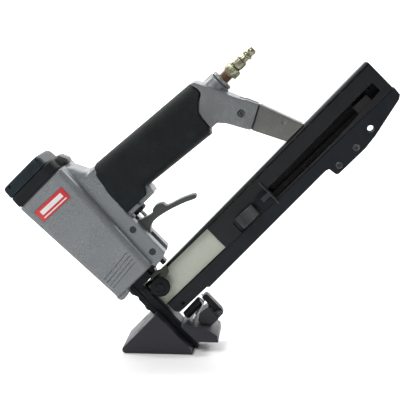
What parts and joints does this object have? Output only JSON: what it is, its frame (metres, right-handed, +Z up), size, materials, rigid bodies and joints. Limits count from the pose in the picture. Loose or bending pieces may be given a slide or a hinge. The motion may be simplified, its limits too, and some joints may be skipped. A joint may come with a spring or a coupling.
{
  "type": "pneumatic flooring stapler",
  "caption": "Air-powered flooring stapler with a slanted body and staple magazine, rubber grip, long trigger, flat shoe for the board and an air plug.",
  "frame": {"origin": "middle of the flat base of the front shoe, on the tool's plane of symmetry", "axes": "+Z up with the shoe flat on the board; +X from the driver housing back towards the rear of the magazine; +Y across the tool"},
  "size_m": [0.3473, 0.0581, 0.2741],
  "materials": {
    "black_plastic": "matte",
    "black_rubber": "matte, finely textured",
    "black_steel": "black oxide, semi-gloss",
    "bracket_metal": "brown-grey coated sheet, satin",
    "brass": "yellow zinc plating",
    "bright_steel": "bright steel",
    "bumper_plastic": "amber polyurethane",
    "cast_alloy": "grey paint over a fine cast texture, satin",
    "grey_steel": "dark satin steel",
    "label_red": "printed plastic label",
    "seal_rubber": "matte",
    "staple_wire": "galvanised wire with a clear glue"
  },
  "bodies": {
    "frame": {"air_plug": "brass", "boss_screw": "grey_steel", "bracket_screw": "grey_steel", "cap_gasket": "seal_rubber", "cap_screw_1": "grey_steel", "cap_screw_2": "grey_steel", "cap_screw_3": "grey_steel", "cap_screw_4": "grey_steel", "cylinder_sleeve": "bright_steel", "end_cap": "cast_alloy", "end_cap_gasket": "seal_rubber", "exhaust_cap": "black_plastic", "exhaust_deflector": "black_plastic", "feeder_spring": "bright_steel", "front_shoe": "grey_steel", "grip_sleeve": "black_rubber", "head_valve_spring": "bright_steel", "housing_casting": "cast_alloy", "inlet_bushing": "grey_steel", "latch_barrel": "black_steel", "latch_block": "grey_steel", "latch_pin": "bright_steel", "latch_wire": "bright_steel", "lever_pin": "grey_steel", "magazine_bracket": "bracket_metal", "magazine_housing": "black_steel", "magazine_rail": "grey_steel", "nose_body": "black_steel", "nose_plate": "black_steel", "nose_screw_1": "grey_steel", "nose_screw_2": "grey_steel", "piston_bumper": "bumper_plastic", "pivot_boss": "black_plastic", "rail_plate_far": "black_steel", "rail_plate_near": "black_steel", "rail_rivet_1": "grey_steel", "rail_rivet_2": "grey_steel", "rear_catch": "grey_steel", "rear_foot": "grey_steel", "shoe_screw_1": "bright_steel", "shoe_screw_2": "bright_steel", "side_label": "label_red", "sleeve_seal_lower": "seal_rubber", "sleeve_seal_upper": "seal_rubber", "staple_strip": "staple_wire", "trigger_pin": "grey_steel", "trigger_valve_body": "black_plastic"},
    "driver": {"piston": "cast_alloy", "piston_ring": "seal_rubber", "driver_blade": "bright_steel"},
    "head_valve": {"head_valve": "bumper_plastic"},
    "trigger": {"trigger": "black_plastic"},
    "valve_stem": {"valve_stem": "bright_steel"},
    "safety": {"contact_strap": "black_steel", "safety_arm": "bracket_metal", "trigger_link": "black_steel"},
    "feeder": {"feeder_shoe": "black_steel", "feeder_thumb_tab": "grey_steel", "feeder_bridge": "grey_steel"},
    "latch": {"latch_lever": "black_plastic"}
  },
  "joints": [
    {"name": "driver_stroke", "type": "slide", "parent": "frame", "child": "driver", "axis": [0.7071, 0, -0.7071], "range_m": [0, 0.075]},
    {"name": "head_valve_lift", "type": "slide", "parent": "frame", "child": "head_valve", "axis": [-0.7071, 0, 0.7071], "range_m": [0, 0.003], "stiffness_N_per_m": 800, "springref_m": -0.002, "deforming": ["head_valve_spring"]},
    {"name": "trigger_pull", "type": "hinge", "parent": "frame", "child": "trigger", "pos_m": [-0.02385, 0, 0.11174], "axis": [0, -1, 0], "range_deg": [0, 12], "stiffness_Nm_per_rad": 0.6, "springref_deg": -14.32},
    {"name": "valve_stem_lift", "type": "slide", "parent": "frame", "child": "valve_stem", "axis": [-0.7071, 0, 0.7071], "range_m": [0, 0.003]},
    {"name": "safety_lift", "type": "slide", "parent": "frame", "child": "safety", "axis": [-0.7071, 0, 0.7071], "range_m": [0, 0.005], "stiffness_N_per_m": 400, "springref_m": -0.006},
    {"name": "feeder_pull", "type": "slide", "parent": "frame", "child": "feeder", "axis": [0.7071, 0, 0.7071], "range_m": [0, 0.095], "stiffness_N_per_m": 60, "springref_m": -0.06, "deforming": ["feeder_spring"]},
    {"name": "latch_open", "type": "hinge", "parent": "frame", "child": "latch", "pos_m": [0.05302, 0, 0.03389], "axis": [0, 1, 0], "range_deg": [0, 60]}
  ],
  "couplings": [
    {"joint": "valve_stem_lift", "follows": "trigger_pull", "m_per_rad": 0.0135}
  ]
}
